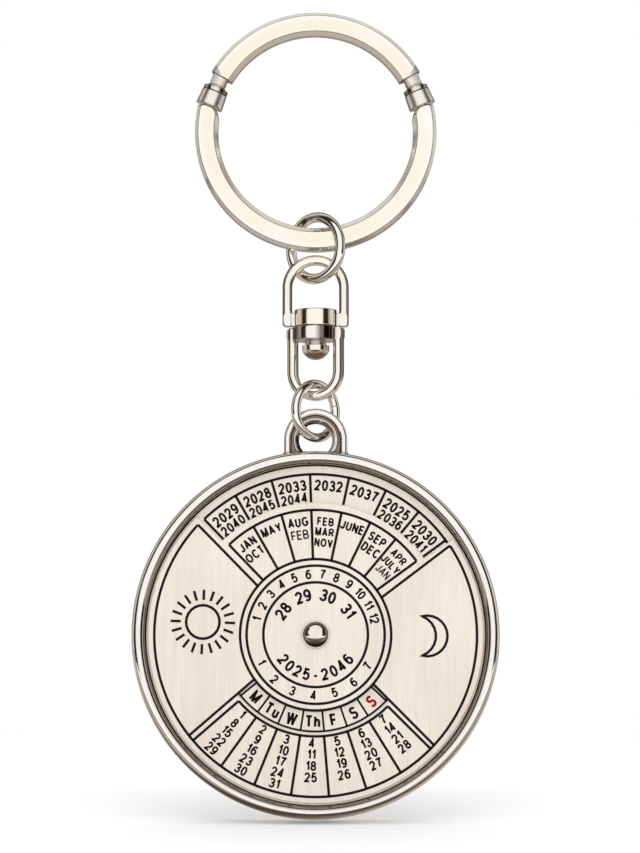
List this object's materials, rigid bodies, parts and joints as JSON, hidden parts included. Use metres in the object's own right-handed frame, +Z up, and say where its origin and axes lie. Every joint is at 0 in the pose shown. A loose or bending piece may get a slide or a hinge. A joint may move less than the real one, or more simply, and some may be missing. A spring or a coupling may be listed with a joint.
{
  "type": "perpetual calendar keyring",
  "caption": "Perpetual calendar keyring: a gated key ring, jump rings and a turning swivel carry a round pendant whose slotted calendar disc turns over a fixed dial plate.",
  "frame": {"origin": "centre of the key ring", "axes": "+Z up along the hanging keyring, dial facing -Y, +X to the right of someone who reads the dial"},
  "size_m": [0.045, 0.006, 0.0999],
  "materials": {
    "ring_band": "polished, warm nickel plate",
    "polished_nickel": "polished nickel plate",
    "plain_steel": "plain turned steel",
    "brushed_plate": "fine vertical brushing, black print",
    "dark_fibre": "matt fibre washer"
  },
  "bodies": {
    "key_ring": {"ring_bow": "ring_band", "hinge_sleeve": "polished_nickel", "catch_sleeve": "polished_nickel"},
    "gate": {"ring_gate": "ring_band", "hinge_pin": "plain_steel", "catch_stud": "plain_steel"},
    "upper_link": {"upper_jump_ring": "polished_nickel"},
    "stirrup": {"swivel_stirrup": "polished_nickel", "swivel_rivet": "polished_nickel", "swivel_washer": "plain_steel"},
    "yoke": {"swivel_yoke": "polished_nickel"},
    "lower_link": {"lower_jump_ring": "polished_nickel"},
    "pendant": {"case": "polished_nickel", "dial_plate": "brushed_plate", "spacer_washer": "dark_fibre", "pivot_washer": "plain_steel", "centre_rivet": "polished_nickel"},
    "calendar": {"calendar_disc": "brushed_plate"}
  },
  "joints": [
    {"name": "gate_hinge", "type": "hinge", "parent": "key_ring", "child": "gate", "pos_m": [-0.01261, 0, 0.00497], "axis": [0.3665, 0, 0.9304], "range_deg": [0, 120]},
    {"name": "bow_slide", "type": "hinge", "parent": "key_ring", "child": "upper_link", "pos_m": [0, 0, 0], "axis": [0, -1, 0], "range_deg": [-75, 75]},
    {"name": "stirrup_swing", "type": "hinge", "parent": "upper_link", "child": "stirrup", "pos_m": [0, 0, -0.01957], "axis": [0, -1, 0], "range_deg": [-40, 40]},
    {"name": "swivel_turn", "type": "hinge", "parent": "stirrup", "child": "yoke", "pos_m": [0, 0, -0.02447], "axis": [0, 0, 1], "continuous": true},
    {"name": "yoke_slide", "type": "hinge", "parent": "yoke", "child": "lower_link", "pos_m": [0, 0, -0.02997], "axis": [-0.342, -0.9397, 0], "range_deg": [-40, 40]},
    {"name": "pendant_swing", "type": "hinge", "parent": "lower_link", "child": "pendant", "pos_m": [0, 0, -0.03848], "axis": [0, -1, 0], "range_deg": [-40, 40]},
    {"name": "calendar_turn", "type": "hinge", "parent": "pendant", "child": "calendar", "pos_m": [0, 0, -0.06238], "axis": [0, -1, 0], "continuous": true}
  ]
}
